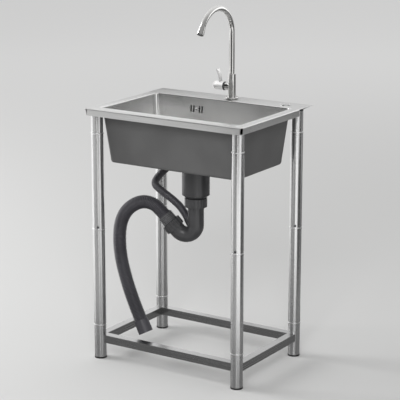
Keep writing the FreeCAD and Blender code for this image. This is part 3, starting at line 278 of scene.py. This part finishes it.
def foldEdges(bm, inset):
    # the fold's outer edges, or its inner ones at an inset of one sheet
    low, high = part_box("sink_deck")
    front, side, level = low.y + inset, high.x - inset, high.z - inset
    edges = []
    for edge in bm.edges:
        ends = [vert.co for vert in edge.verts]
        middle = (ends[0] + ends[1]) / 2
        if any(abs(end.z - level) > sameSpot for end in ends):
            continue
        inFront = all(abs(end.y - front) < sameSpot for end in ends)
        atSide = all(abs(abs(end.x) - side) < sameSpot for end in ends)
        onFrontFold = inFront and abs(middle.x) < deckFold["frontEnd"]
        onSideFold = atSide and deckFold["sideStart"] < middle.y < deckFold["sideEnd"]
        if onFrontFold or onSideFold:
            edges.append(edge)
    return edges


def makeDeckSheet():
    bm = bmesh.new()
    bm.from_mesh(nodes["sink_deck"].data)
    bmesh.ops.remove_doubles(bm, verts=bm.verts, dist=sameSpot)
    bmesh.ops.dissolve_limit(bm, angle_limit=math.radians(deckFold["flat"]), verts=bm.verts, edges=bm.edges)
    cuts = [((end, 0, 0), (1, 0, 0)) for end in (-deckFold["frontEnd"], deckFold["frontEnd"])]
    cuts += [((0, end, 0), (0, 1, 0)) for end in (deckFold["sideStart"], deckFold["sideEnd"])]
    for spot, across in cuts:
        bmesh.ops.bisect_plane(bm, geom=bm.verts[:] + bm.edges[:] + bm.faces[:], dist=weldGap,
                               plane_co=spot, plane_no=across)
    for inset in (deckFold["sheet"], 0):
        bmesh.ops.bevel(bm, geom=foldEdges(bm, inset), offset=deckFold["round"] - inset,
                        offset_type="OFFSET", segments=deckFold["steps"], profile=0.5, affect="EDGES",
                        material=-1, clamp_overlap=False)
    bmesh.ops.triangulate(bm, faces=bm.faces)
    bmesh.ops.dissolve_degenerate(bm, dist=sameSpot, edges=bm.edges)
    bmesh.ops.recalc_face_normals(bm, faces=bm.faces)
    sheet = finishMesh(bm, "deckSheet", deckFold["smooth"])
    flats = sheet.modifiers.new("levelFlats", "WEIGHTED_NORMAL")
    flats.keep_sharp = True
    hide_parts("sink_deck")
    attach(sheet, "stand")
    return sheet


deckSheet = makeDeckSheet()
print("deck folds rounded")

# the thin beads where one leg tube plugs into the next
legBeads = {
    "axes": ((-0.252, -0.186), (0.252, -0.186), (-0.252, 0.16), (0.252, 0.16)),
    "rows": ((0.722, 0.7252, 0.0185), (0.4194, 0.4226, 0.019), (0.1088, 0.112, 0.0185)),  # bottom, top, bore
    "crest": 0.0198,
    "soft": 0.0011,
    "edgeShares": ((0.6, 0), (0.1, 0.5), (0, 1)),  # the soft edge's corners: in from the crest, up the bead
    "around": 64,
    "smooth": 50,
}


def makeLegBeads():
    bm = bmesh.new()
    crest, soft = legBeads["crest"], legBeads["soft"]
    softEdge = [(crest - inward * soft, upward * soft) for inward, upward in legBeads["edgeShares"]]
    for right, back in legBeads["axes"]:
        for bottom, top, bore in legBeads["rows"]:
            outline = [(bore, bottom)]
            outline += [(radius, bottom + rise) for radius, rise in softEdge]
            outline += [(radius, top - rise) for radius, rise in reversed(softEdge)]
            outline.append((bore, top))
            ring = bmesh.new()
            spinTube(ring, outline, legBeads["around"])
            bmesh.ops.translate(ring, vec=(right, back, 0), verts=ring.verts)
            part = bpy.data.meshes.new("bead")
            ring.to_mesh(part)
            ring.free()
            bm.from_mesh(part)
            bpy.data.meshes.remove(part)
    beads = finishMesh(bm, "legTubeBeads", legBeads["smooth"])
    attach(beads, "stand")
    return beads


legTubeBeads = makeLegBeads()
print("leg beads made")


# effects shared by the finishes
def addNode(tree, kind, **values):
    node = tree.nodes.new(kind)
    for name, value in values.items():
        setattr(node, name, value)
    return node


def floats(*names):
    return [(name, "NodeSocketFloat") for name in names]


def newEffect(name, inputs, outputs):
    # an empty node group with its named sockets
    tree = bpy.data.node_groups.new(name, "ShaderNodeTree")
    for socket, kind in inputs:
        tree.interface.new_socket(socket, in_out="INPUT", socket_type=kind)
    for socket, kind in outputs:
        tree.interface.new_socket(socket, in_out="OUTPUT", socket_type=kind)
    return tree, tree.nodes.new("NodeGroupInput"), tree.nodes.new("NodeGroupOutput")


def rampBetween(tree, source, low, high):
    # 0 at low, 1 at high, smooth between
    node = addNode(tree, "ShaderNodeMapRange", interpolation_type="SMOOTHSTEP")
    node.inputs["From Min"].default_value = low
    node.inputs["From Max"].default_value = high
    tree.links.new(source, node.inputs["Value"])
    return node.outputs["Result"]


def objectCoords(tree):
    return tree.nodes.new("ShaderNodeTexCoord").outputs["Object"]


def splitVector(tree, source):
    node = addNode(tree, "ShaderNodeSeparateXYZ")
    tree.links.new(source, node.inputs[0])
    return node.outputs


brushGrain = {"detail": 3, "roughness": 0.65, "tone": (0.3, 0.7)}


def makeBrushLines():
    # fine drawn lines: noise stretched along one direction
    tree, given, result = newEffect("brushLines", [("Stretch", "NodeSocketVector")], floats("Tone", "Height"))
    spread = addNode(tree, "ShaderNodeVectorMath", operation="MULTIPLY")
    tree.links.new(objectCoords(tree), spread.inputs[0])
    tree.links.new(given.outputs["Stretch"], spread.inputs[1])
    fine = addNode(tree, "ShaderNodeTexNoise")
    fine.inputs["Scale"].default_value = 1
    fine.inputs["Detail"].default_value = brushGrain["detail"]
    fine.inputs["Roughness"].default_value = brushGrain["roughness"]
    tree.links.new(spread.outputs[0], fine.inputs["Vector"])
    tree.links.new(rampBetween(tree, fine.outputs["Fac"], *brushGrain["tone"]), result.inputs["Tone"])
    tree.links.new(fine.outputs["Fac"], result.inputs["Height"])
    return tree


handlingMarks = {
    "smudgeDetail": 4,
    "smudge": (0.4, 0.72),
    "dropEdge": (0.16, 0.1),  # from a drop's rim inwards
    "dropChance": (0.8, 0.86),  # only cells above this have a drop
}


def makeHandling():
    # soft smudges and small dried drops
    tree, given, result = newEffect("handling", floats("Smudge Scale", "Drop Scale"),
                                    floats("Smudge", "Drops"))
    coords = objectCoords(tree)
    cloud = addNode(tree, "ShaderNodeTexNoise")
    cloud.inputs["Detail"].default_value = handlingMarks["smudgeDetail"]
    tree.links.new(coords, cloud.inputs["Vector"])
    tree.links.new(given.outputs["Smudge Scale"], cloud.inputs["Scale"])
    cells = addNode(tree, "ShaderNodeTexVoronoi")
    tree.links.new(coords, cells.inputs["Vector"])
    tree.links.new(given.outputs["Drop Scale"], cells.inputs["Scale"])
    drop = rampBetween(tree, cells.outputs["Distance"], *handlingMarks["dropEdge"])
    rare = addNode(tree, "ShaderNodeSeparateColor")
    tree.links.new(cells.outputs["Color"], rare.inputs["Color"])
    chosen = rampBetween(tree, rare.outputs["Red"], *handlingMarks["dropChance"])
    drops = addNode(tree, "ShaderNodeMath", operation="MULTIPLY")
    tree.links.new(drop, drops.inputs[0])
    tree.links.new(chosen, drops.inputs[1])
    smudge = rampBetween(tree, cloud.outputs["Fac"], *handlingMarks["smudge"])
    tree.links.new(smudge, result.inputs["Smudge"])
    tree.links.new(drops.outputs[0], result.inputs["Drops"])
    return tree


wornEdge = {"samples": 4, "bend": (0.97, 0.8)}  # bend: how far the two normals still agree


def makeEdgeWear():
    # finds edges by comparing the true normal with a rounded one
    tree, given, result = newEffect("edgeWear", floats("Width"), floats("Edge"))
    rounded = addNode(tree, "ShaderNodeBevel", samples=wornEdge["samples"])
    tree.links.new(given.outputs["Width"], rounded.inputs["Radius"])
    facing = tree.nodes.new("ShaderNodeNewGeometry")
    compare = addNode(tree, "ShaderNodeVectorMath", operation="DOT_PRODUCT")
    tree.links.new(rounded.outputs["Normal"], compare.inputs[0])
    tree.links.new(facing.outputs["True Normal"], compare.inputs[1])
    tree.links.new(rampBetween(tree, compare.outputs["Value"], *wornEdge["bend"]), result.inputs["Edge"])
    return tree


skinNoise = {"details": {"Grain": 2, "Drift": 4}, "spread": (0.3, 0.7)}


def makeMouldSkin():
    # the faint orange peel and tone drift of moulded plastic and sprayed coats
    tree, given, result = newEffect("mouldSkin", floats("Grain Scale", "Drift Scale"),
                                    floats("Grain", "Drift"))
    coords = objectCoords(tree)
    for socket, detail in skinNoise["details"].items():
        noise = addNode(tree, "ShaderNodeTexNoise")
        noise.inputs["Detail"].default_value = detail
        tree.links.new(coords, noise.inputs["Vector"])
        tree.links.new(given.outputs[socket + " Scale"], noise.inputs["Scale"])
        tree.links.new(rampBetween(tree, noise.outputs["Fac"], *skinNoise["spread"]), result.inputs[socket])
    return tree


brushLines = makeBrushLines()
handling = makeHandling()
edgeWear = makeEdgeWear()
mouldSkin = makeMouldSkin()
print("shared effects made")

# finishes
grainDepth = 0.0002  # metres of bump at full strength


def startFinish(name):
    material = bpy.data.materials.new(name)
    material.use_nodes = True
    tree = material.node_tree
    return material, tree, tree.nodes["Principled BSDF"]


def placeEffect(tree, effect, **values):
    node = addNode(tree, "ShaderNodeGroup", node_tree=effect)
    for name, value in values.items():
        node.inputs[name].default_value = value
    return node.outputs


def mixColours(tree, share, first, second):
    node = addNode(tree, "ShaderNodeMix", data_type="RGBA")
    for socket, value in ((node.inputs[6], first), (node.inputs[7], second)):  # its two colour sockets
        if isinstance(value, tuple):
            socket.default_value = (*value, 1)
        else:
            tree.links.new(value, socket)
    tree.links.new(share, node.inputs[0])
    return node.outputs[2]


def blendValues(tree, share, first, second):
    node = addNode(tree, "ShaderNodeMix", data_type="FLOAT")
    for socket, value in ((0, share), (2, first), (3, second)):  # its sockets for plain values
        tree.links.new(value, node.inputs[socket])
    return node.outputs[0]


def calc(tree, operation, *values):
    node = addNode(tree, "ShaderNodeMath", operation=operation)
    for socket, value in zip(node.inputs, values):
        if isinstance(value, (int, float)):
            socket.default_value = value
        else:
            tree.links.new(value, socket)
    return node.outputs[0]


def bumpFrom(tree, shader, height, strength):
    node = addNode(tree, "ShaderNodeBump")
    node.inputs["Strength"].default_value = strength
    node.inputs["Distance"].default_value = grainDepth
    tree.links.new(height, node.inputs["Height"])
    tree.links.new(node.outputs["Normal"], shader.inputs["Normal"])


def wearEdges(tree, look, colour):
    worn = placeEffect(tree, edgeWear, Width=look["edge"])
    share = calc(tree, "MULTIPLY", worn["Edge"], look["edgeShare"])
    return mixColours(tree, share, colour, look["edgeColour"])


def brushedGrain(tree, look):
    # tone and height of the brushing; level faces may be brushed another way than upright ones
    lines = placeEffect(tree, brushLines, Stretch=look["stretch"])
    if "floorStretch" not in look:
        return lines["Tone"], lines["Height"]
    level = placeEffect(tree, brushLines, Stretch=look["floorStretch"])
    facing = splitVector(tree, tree.nodes.new("ShaderNodeNewGeometry").outputs["True Normal"])
    flat = rampBetween(tree, calc(tree, "ABSOLUTE", facing["Z"]), *look["floorFacing"])
    return [blendValues(tree, flat, lines[key], level[key]) for key in ("Tone", "Height")]


def paintedLegTopShade(tree, look, colour):
    # painted shade: the leg tubes turn near black at their tops, where they stand in the shade under the
    # deck; it starts higher on the rear legs
    spot = splitVector(tree, objectCoords(tree))
    front, rear = (rampBetween(tree, spot["Z"], *look[key]) for key in ("deckShade", "rearDeckShade"))
    shadeShare = blendValues(tree, rampBetween(tree, spot["Y"], *look["deckShadeSplit"]), front, rear)
    return mixColours(tree, shadeShare, colour, look["deckShadeColour"])


def steelFinish(name, look):
    material, tree, shader = startFinish(name)
    shader.inputs["Metallic"].default_value = 1
    tone, height = brushedGrain(tree, look)
    colour = wearEdges(tree, look, mixColours(tree, tone, look["low"], look["high"]))
    # painted shade on the leg tops under the deck
    if "deckShade" in look:
        colour = paintedLegTopShade(tree, look, colour)
    tree.links.new(colour, shader.inputs["Base Color"])
    scales = {"Smudge Scale": look["smudgeScale"], "Drop Scale": look["dropScale"]}
    marks = placeEffect(tree, handling, **scales)
    rough = calc(tree, "MULTIPLY_ADD", tone, look["roughGrain"], look["rough"])
    rough = calc(tree, "MULTIPLY_ADD", marks["Smudge"], look["smudge"], rough)
    rough = calc(tree, "MULTIPLY_ADD", marks["Drops"], look["drops"], rough)
    tree.links.new(rough, shader.inputs["Roughness"])
    # a tube ground round its girth, or a wall brushed level, smears what it mirrors up and down
    shader.inputs["Anisotropic"].default_value = look["streak"]
    shader.inputs["Anisotropic Rotation"].default_value = look["streakTurn"]
    bumpFrom(tree, shader, height, look["bump"])
    return material


def plasticFinish(name, look):
    material, tree, shader = startFinish(name)
    scales = {"Grain Scale": look["grainScale"], "Drift Scale": look["driftScale"]}
    skin = placeEffect(tree, mouldSkin, **scales)
    colour = wearEdges(tree, look, mixColours(tree, skin["Drift"], look["low"], look["high"]))
    tree.links.new(colour, shader.inputs["Base Color"])
    rough = calc(tree, "MULTIPLY_ADD", skin["Drift"], look["roughDrift"], look["rough"])
    tree.links.new(rough, shader.inputs["Roughness"])
    shader.inputs["Specular IOR Level"].default_value = look["gloss"]
    bumpFrom(tree, shader, skin["Grain"], look["bump"])
    return material


def grey(level):
    return (level, level, level)


baseSteel = {
    "low": (0.60, 0.60, 0.595), "high": (0.70, 0.70, 0.695), "stretch": (6, 700, 700), "rough": 0.22,
    "roughGrain": 0.1, "bump": 0.12, "edge": 0.0008, "edgeShare": 0.5, "edgeColour": grey(0.82),
    "smudgeScale": 9, "smudge": 0.05, "dropScale": 60, "drops": 0.05, "streak": 0,
    "streakTurn": 0.25,  # a quarter turn, so that the smear runs up and down
}
steelLooks = {
    "deckSteel": {
        "stretch": (5, 900, 900), "low": (0.58, 0.58, 0.575), "high": (0.70, 0.70, 0.695), "rough": 0.26,
    },
    "bowlSteel": {
        "stretch": (5, 5, 900), "floorStretch": (5, 900, 900), "floorFacing": (0.6, 0.8),
        "low": (0.67, 0.67, 0.665), "high": (0.73, 0.73, 0.725), "rough": 0.18, "roughGrain": 0.05,
        "bump": 0.02, "streak": 0.6, "drops": 0, "edgeShare": 0.25,
    },
    "tubeSteel": {
        "stretch": (500, 500, 0.4), "low": grey(0.66), "high": grey(0.72), "rough": 0.22, "roughGrain": 0.03,
        # the near-black band at the tube tops is painted shade under the deck
        "bump": 0, "smudge": 0, "drops": 0, "streak": 1, "deckShade": (0.776, 0.7795),
        "rearDeckShade": (0.7885, 0.7925), "deckShadeSplit": (-0.05, 0.05), "deckShadeColour": grey(0.04),
    },
    # painted shade: the rail steel is a darker copy of the tube steel, for the rails' shaded look low by the
    # floor
    "railSteelShaded": {
        "stretch": (4, 4, 700), "low": grey(0.36), "high": grey(0.45), "rough": 0.2, "roughGrain": 0.06,
        "bump": 0.05, "drops": 0,
    },
    "fittingSteel": {
        "stretch": (300, 300, 300), "low": grey(0.6), "high": grey(0.7), "rough": 0.16,
        "roughGrain": 0.06, "bump": 0.04,
    },
    "tapSteel": {
        "stretch": (60, 60, 900), "low": (0.66, 0.655, 0.645), "high": (0.76, 0.755, 0.745), "rough": 0.1,
        "roughGrain": 0.05, "bump": 0.03,
    },
    "leverSteel": {
        "stretch": (300, 300, 300), "low": (0.88, 0.875, 0.87), "high": (0.94, 0.935, 0.93), "rough": 0.46,
        "roughGrain": 0.08, "bump": 0.04,
    },
    "beadSteel": {
        "stretch": (300, 300, 300), "low": grey(0.86), "high": grey(0.92), "rough": 0.3, "edgeShare": 0,
    },
    "wallScrew": {
        "stretch": (300, 300, 300), "low": grey(0.34), "high": grey(0.42), "rough": 0.45,
    },
    "tapBrass": {
        "stretch": (60, 60, 900), "low": (0.56, 0.42, 0.2), "high": (0.68, 0.52, 0.27), "rough": 0.26,
        "edgeColour": (0.8, 0.66, 0.4),
    },
    "darkScrew": {
        "stretch": (300, 300, 300), "low": (0.07, 0.07, 0.075), "high": (0.12, 0.12, 0.125), "rough": 0.32,
        "edgeColour": grey(0.35),
    },
}
basePlastic = {
    "low": (0.046, 0.046, 0.048), "high": (0.062, 0.062, 0.065), "grainScale": 900, "driftScale": 14,
    "rough": 0.4, "roughDrift": 0.08, "gloss": 0.5, "bump": 0.08, "edge": 0.0007, "edgeShare": 0.35,
    "edgeColour": (0.12, 0.12, 0.125),
}
plasticLooks = {
    "drainPlastic": {"rough": 0.27},
    "clampPlastic": {
        "low": (0.09, 0.09, 0.093), "high": (0.12, 0.12, 0.125), "rough": 0.38, "edgeColour": grey(0.2),
    },
    "hosePlastic": {"low": (0.052, 0.050, 0.058), "high": (0.066, 0.064, 0.074), "rough": 0.32},
    "undercoatPaint": {
        "low": grey(0.098), "high": grey(0.122), "grainScale": 420, "bump": 0.35, "rough": 0.5,
        "driftScale": 7, "edgeColour": grey(0.17),
    },
    "footPlastic": {"low": grey(0.012), "high": grey(0.02), "rough": 0.55, "edgeColour": grey(0.05)},
    "blackPlastic": {
        "low": (0.010, 0.010, 0.011), "high": (0.018, 0.018, 0.019), "rough": 0.3, "edgeColour": grey(0.05),
    },
    "sealRubber": {"low": grey(0.022), "high": grey(0.035), "rough": 0.65, "gloss": 0.3, "grainScale": 600},
}
finishes = {name: steelFinish(name, {**baseSteel, **look}) for name, look in steelLooks.items()}
finishes.update({name: plasticFinish(name, {**basePlastic, **look}) for name, look in plasticLooks.items()})
print("finishes made:", len(finishes))

finishOfSlot = {
    "basin_steel": "deckSteel",
    "undercoat": "undercoatPaint",
    "foot_plastic": "footPlastic",
    "dark_screw": "darkScrew",
    "tube_steel": "tubeSteel",
    "rail_steel": "railSteelShaded",
    "fitting_steel": "fittingSteel",
    "seal_rubber": "sealRubber",
    "drain_plastic": "drainPlastic",
    "hose_plastic": "hosePlastic",
    "tap_brass": "tapBrass",
    "black_plastic": "blackPlastic",
    "tap_steel": "tapSteel",
}
finishOfNode = {  # where a node's finish differs from its slot's
    "sink_bowl": "bowlSteel",
    "overflow_screw": "wallScrew",
    "lever_hub": "leverSteel",
    "lever_paddle": "leverSteel",
}


def dress(piece, finish):
    piece.data.materials.clear()
    piece.data.materials.append(finishes[finish])


for row in frame["record"]["subparts"]:
    node = nodes[row["node"]]
    dress(node, finishOfNode.get(row["node"], finishOfSlot[row["material_slot"]]))
for tube in (drainTube, overflowTube):
    dress(tube, "hosePlastic")
dress(hoseClampRing, "clampPlastic")
dress(deckSheet, "deckSteel")
dress(legTubeBeads, "beadSteel")
print("pieces dressed")

# the stage: a pale floor, a soft sky, two lamps, and cards and a mat that show only as mirrored in the metal
stageSetup = {
    "floorSide": 60,
    "floorParts": 2,
    "floorNear": (0.62, 0.62, 0.615),
    "floorFar": (0.95, 0.95, 0.945),
    "floorFade": (1.2, 6.5),
    "worldDark": 0.36,
    "worldBright": 0.92,
    "worldAim": (-0.55, 0.8, 0.25),
    "worldSpread": (-0.4, 0.8),
}
lamps = {
    "keyLamp": {"place": (-3.4, -0.9, 2.4), "aim": (0, 0, 0.6), "wide": 1.8, "tall": 1.8, "power": 95},
    "fillLamp": {"place": (1.9, -3.6, 3.0), "aim": (0, 0, 0.5), "wide": 1.6, "tall": 1.6, "power": 80},
}
panels = {  # angles are in degrees, to the right of the camera's side
    "leftPanel": {"angle": -137, "reach": 1.2, "wide": 2.3, "low": 0.0, "high": 1.5, "level": 1.15},
    "softPanel": {"angle": -52, "reach": 1.25, "wide": 1.9, "low": 0.0, "high": 0.34, "level": 0.3},
    "frontPanel": {"angle": 23, "reach": 0.95, "wide": 0.64, "low": 0.0, "high": 0.66, "level": 1.3},
    "apronPanel": {"angle": -66, "reach": 1.1, "wide": 0.7, "low": 0.36, "high": 0.62, "level": 0.9},
    "foldFlag": {"angle": -68, "reach": 1.1, "wide": 1.4, "low": 0.88, "high": 2.5, "level": 0.02},
    "tapFlag": {"angle": -10, "reach": 0.8, "wide": 0.95, "low": 0.58, "high": 1.4, "level": 0.06},
    "tapPanel": {"angle": 49, "reach": 0.85, "wide": 0.5, "low": 0.66, "high": 1.4, "level": 1.2},
    "darkFlag": {"angle": 63, "reach": 0.9, "wide": 0.62, "low": 0.0, "high": 1.4, "level": 0.06},
    "sidePanel": {"angle": 99, "reach": 0.87, "wide": 0.36, "low": 0.42, "high": 0.66, "level": 0.44},
    "greyFlag": {"angle": 108, "reach": 0.95, "wide": 1.0, "low": 0.0, "high": 1.05, "level": 0.18},
    "bowlPanel": {"angle": 116, "reach": 0.95, "wide": 0.8, "low": 1.05, "high": 1.5, "level": 1.6},
    "bowlFlag": {"angle": -180, "reach": 0.62, "wide": 1.0, "low": 0.8, "high": 0.895, "level": 0.05},
}
darkMat = {"side": 1.3, "lift": 0.0005, "level": 0.2}


def startCard(side, parts=1):
    # a level square card round the origin
    bm = bmesh.new()
    bmesh.ops.create_grid(bm, x_segments=parts, y_segments=parts, size=side / 2)
    return bm


def makeFloor():
    floor = finishMesh(startCard(stageSetup["floorSide"], stageSetup["floorParts"]), "paleFloor")
    material, tree, shader = startFinish("floorPaint")
    reach = addNode(tree, "ShaderNodeVectorMath", operation="LENGTH")
    tree.links.new(objectCoords(tree), reach.inputs[0])
    fade = rampBetween(tree, reach.outputs["Value"], *stageSetup["floorFade"])
    colour = mixColours(tree, fade, stageSetup["floorNear"], stageSetup["floorFar"])
    tree.links.new(colour, shader.inputs["Base Color"])
    shader.inputs["Roughness"].default_value = 1
    shader.inputs["Specular IOR Level"].default_value = 0
    floor.data.materials.append(material)


def makeWorld():
    world = bpy.data.worlds.new("studio")
    scene.world = world
    world.use_nodes = True
    tree = world.node_tree
    aim = addNode(tree, "ShaderNodeVectorMath", operation="DOT_PRODUCT")
    tree.links.new(tree.nodes.new("ShaderNodeTexCoord").outputs["Generated"], aim.inputs[0])
    aim.inputs[1].default_value = Vector(stageSetup["worldAim"]).normalized()
    bright = rampBetween(tree, aim.outputs["Value"], *stageSetup["worldSpread"])
    colour = mixColours(tree, bright, grey(stageSetup["worldDark"]), grey(stageSetup["worldBright"]))
    tree.links.new(colour, tree.nodes["Background"].inputs["Color"])


def makeLamp(name, lamp):
    light = bpy.data.lights.new(name, "AREA")
    light.shape = "RECTANGLE"
    light.size, light.size_y = lamp["wide"], lamp["tall"]
    light.energy = lamp["power"]
    holder = bpy.data.objects.new(name, light)
    holder.location = lamp["place"]
    holder.rotation_mode = "QUATERNION"
    holder.rotation_quaternion = (Vector(lamp["aim"]) - Vector(lamp["place"])).to_track_quat("-Z", "Y")
    scene.collection.objects.link(holder)


def paintCard(card, level):
    # the card lights nothing and shows only in mirrored light
    material, tree, shader = startFinish(card.name + "Paint")
    shader.inputs["Base Color"].default_value = (0, 0, 0, 1)
    shader.inputs["Specular IOR Level"].default_value = 0
    shader.inputs["Emission Color"].default_value = (1, 1, 1, 1)
    shader.inputs["Emission Strength"].default_value = level
    card.data.materials.append(material)
    card.visible_camera = card.visible_diffuse = card.visible_shadow = False


def makePanel(name, panel):
    # an upright card that faces the sink
    turn = math.radians(cameraSetup["turn"] + panel["angle"])
    bm = startCard(1)
    bmesh.ops.scale(bm, vec=(panel["wide"], panel["high"] - panel["low"], 1), verts=bm.verts)
    place = Matrix.Translation((math.sin(turn) * panel["reach"], -math.cos(turn) * panel["reach"],
                                (panel["low"] + panel["high"]) / 2))
    upright = Matrix.Rotation(turn, 4, "Z") @ Matrix.Rotation(math.pi / 2, 4, "X")
    bmesh.ops.transform(bm, matrix=place @ upright, verts=bm.verts)
    paintCard(finishMesh(bm, name), panel["level"])


def makeMat():
    # a dark sheet under the stand, for the lower rails and legs to mirror
    bm = startCard(darkMat["side"])
    bmesh.ops.translate(bm, vec=(0, 0, darkMat["lift"]), verts=bm.verts)
    paintCard(finishMesh(bm, "darkMat"), darkMat["level"])


makeFloor()
makeWorld()
for name, lamp in lamps.items():
    makeLamp(name, lamp)
for name, panel in panels.items():
    makePanel(name, panel)
makeMat()
print("stage lit")
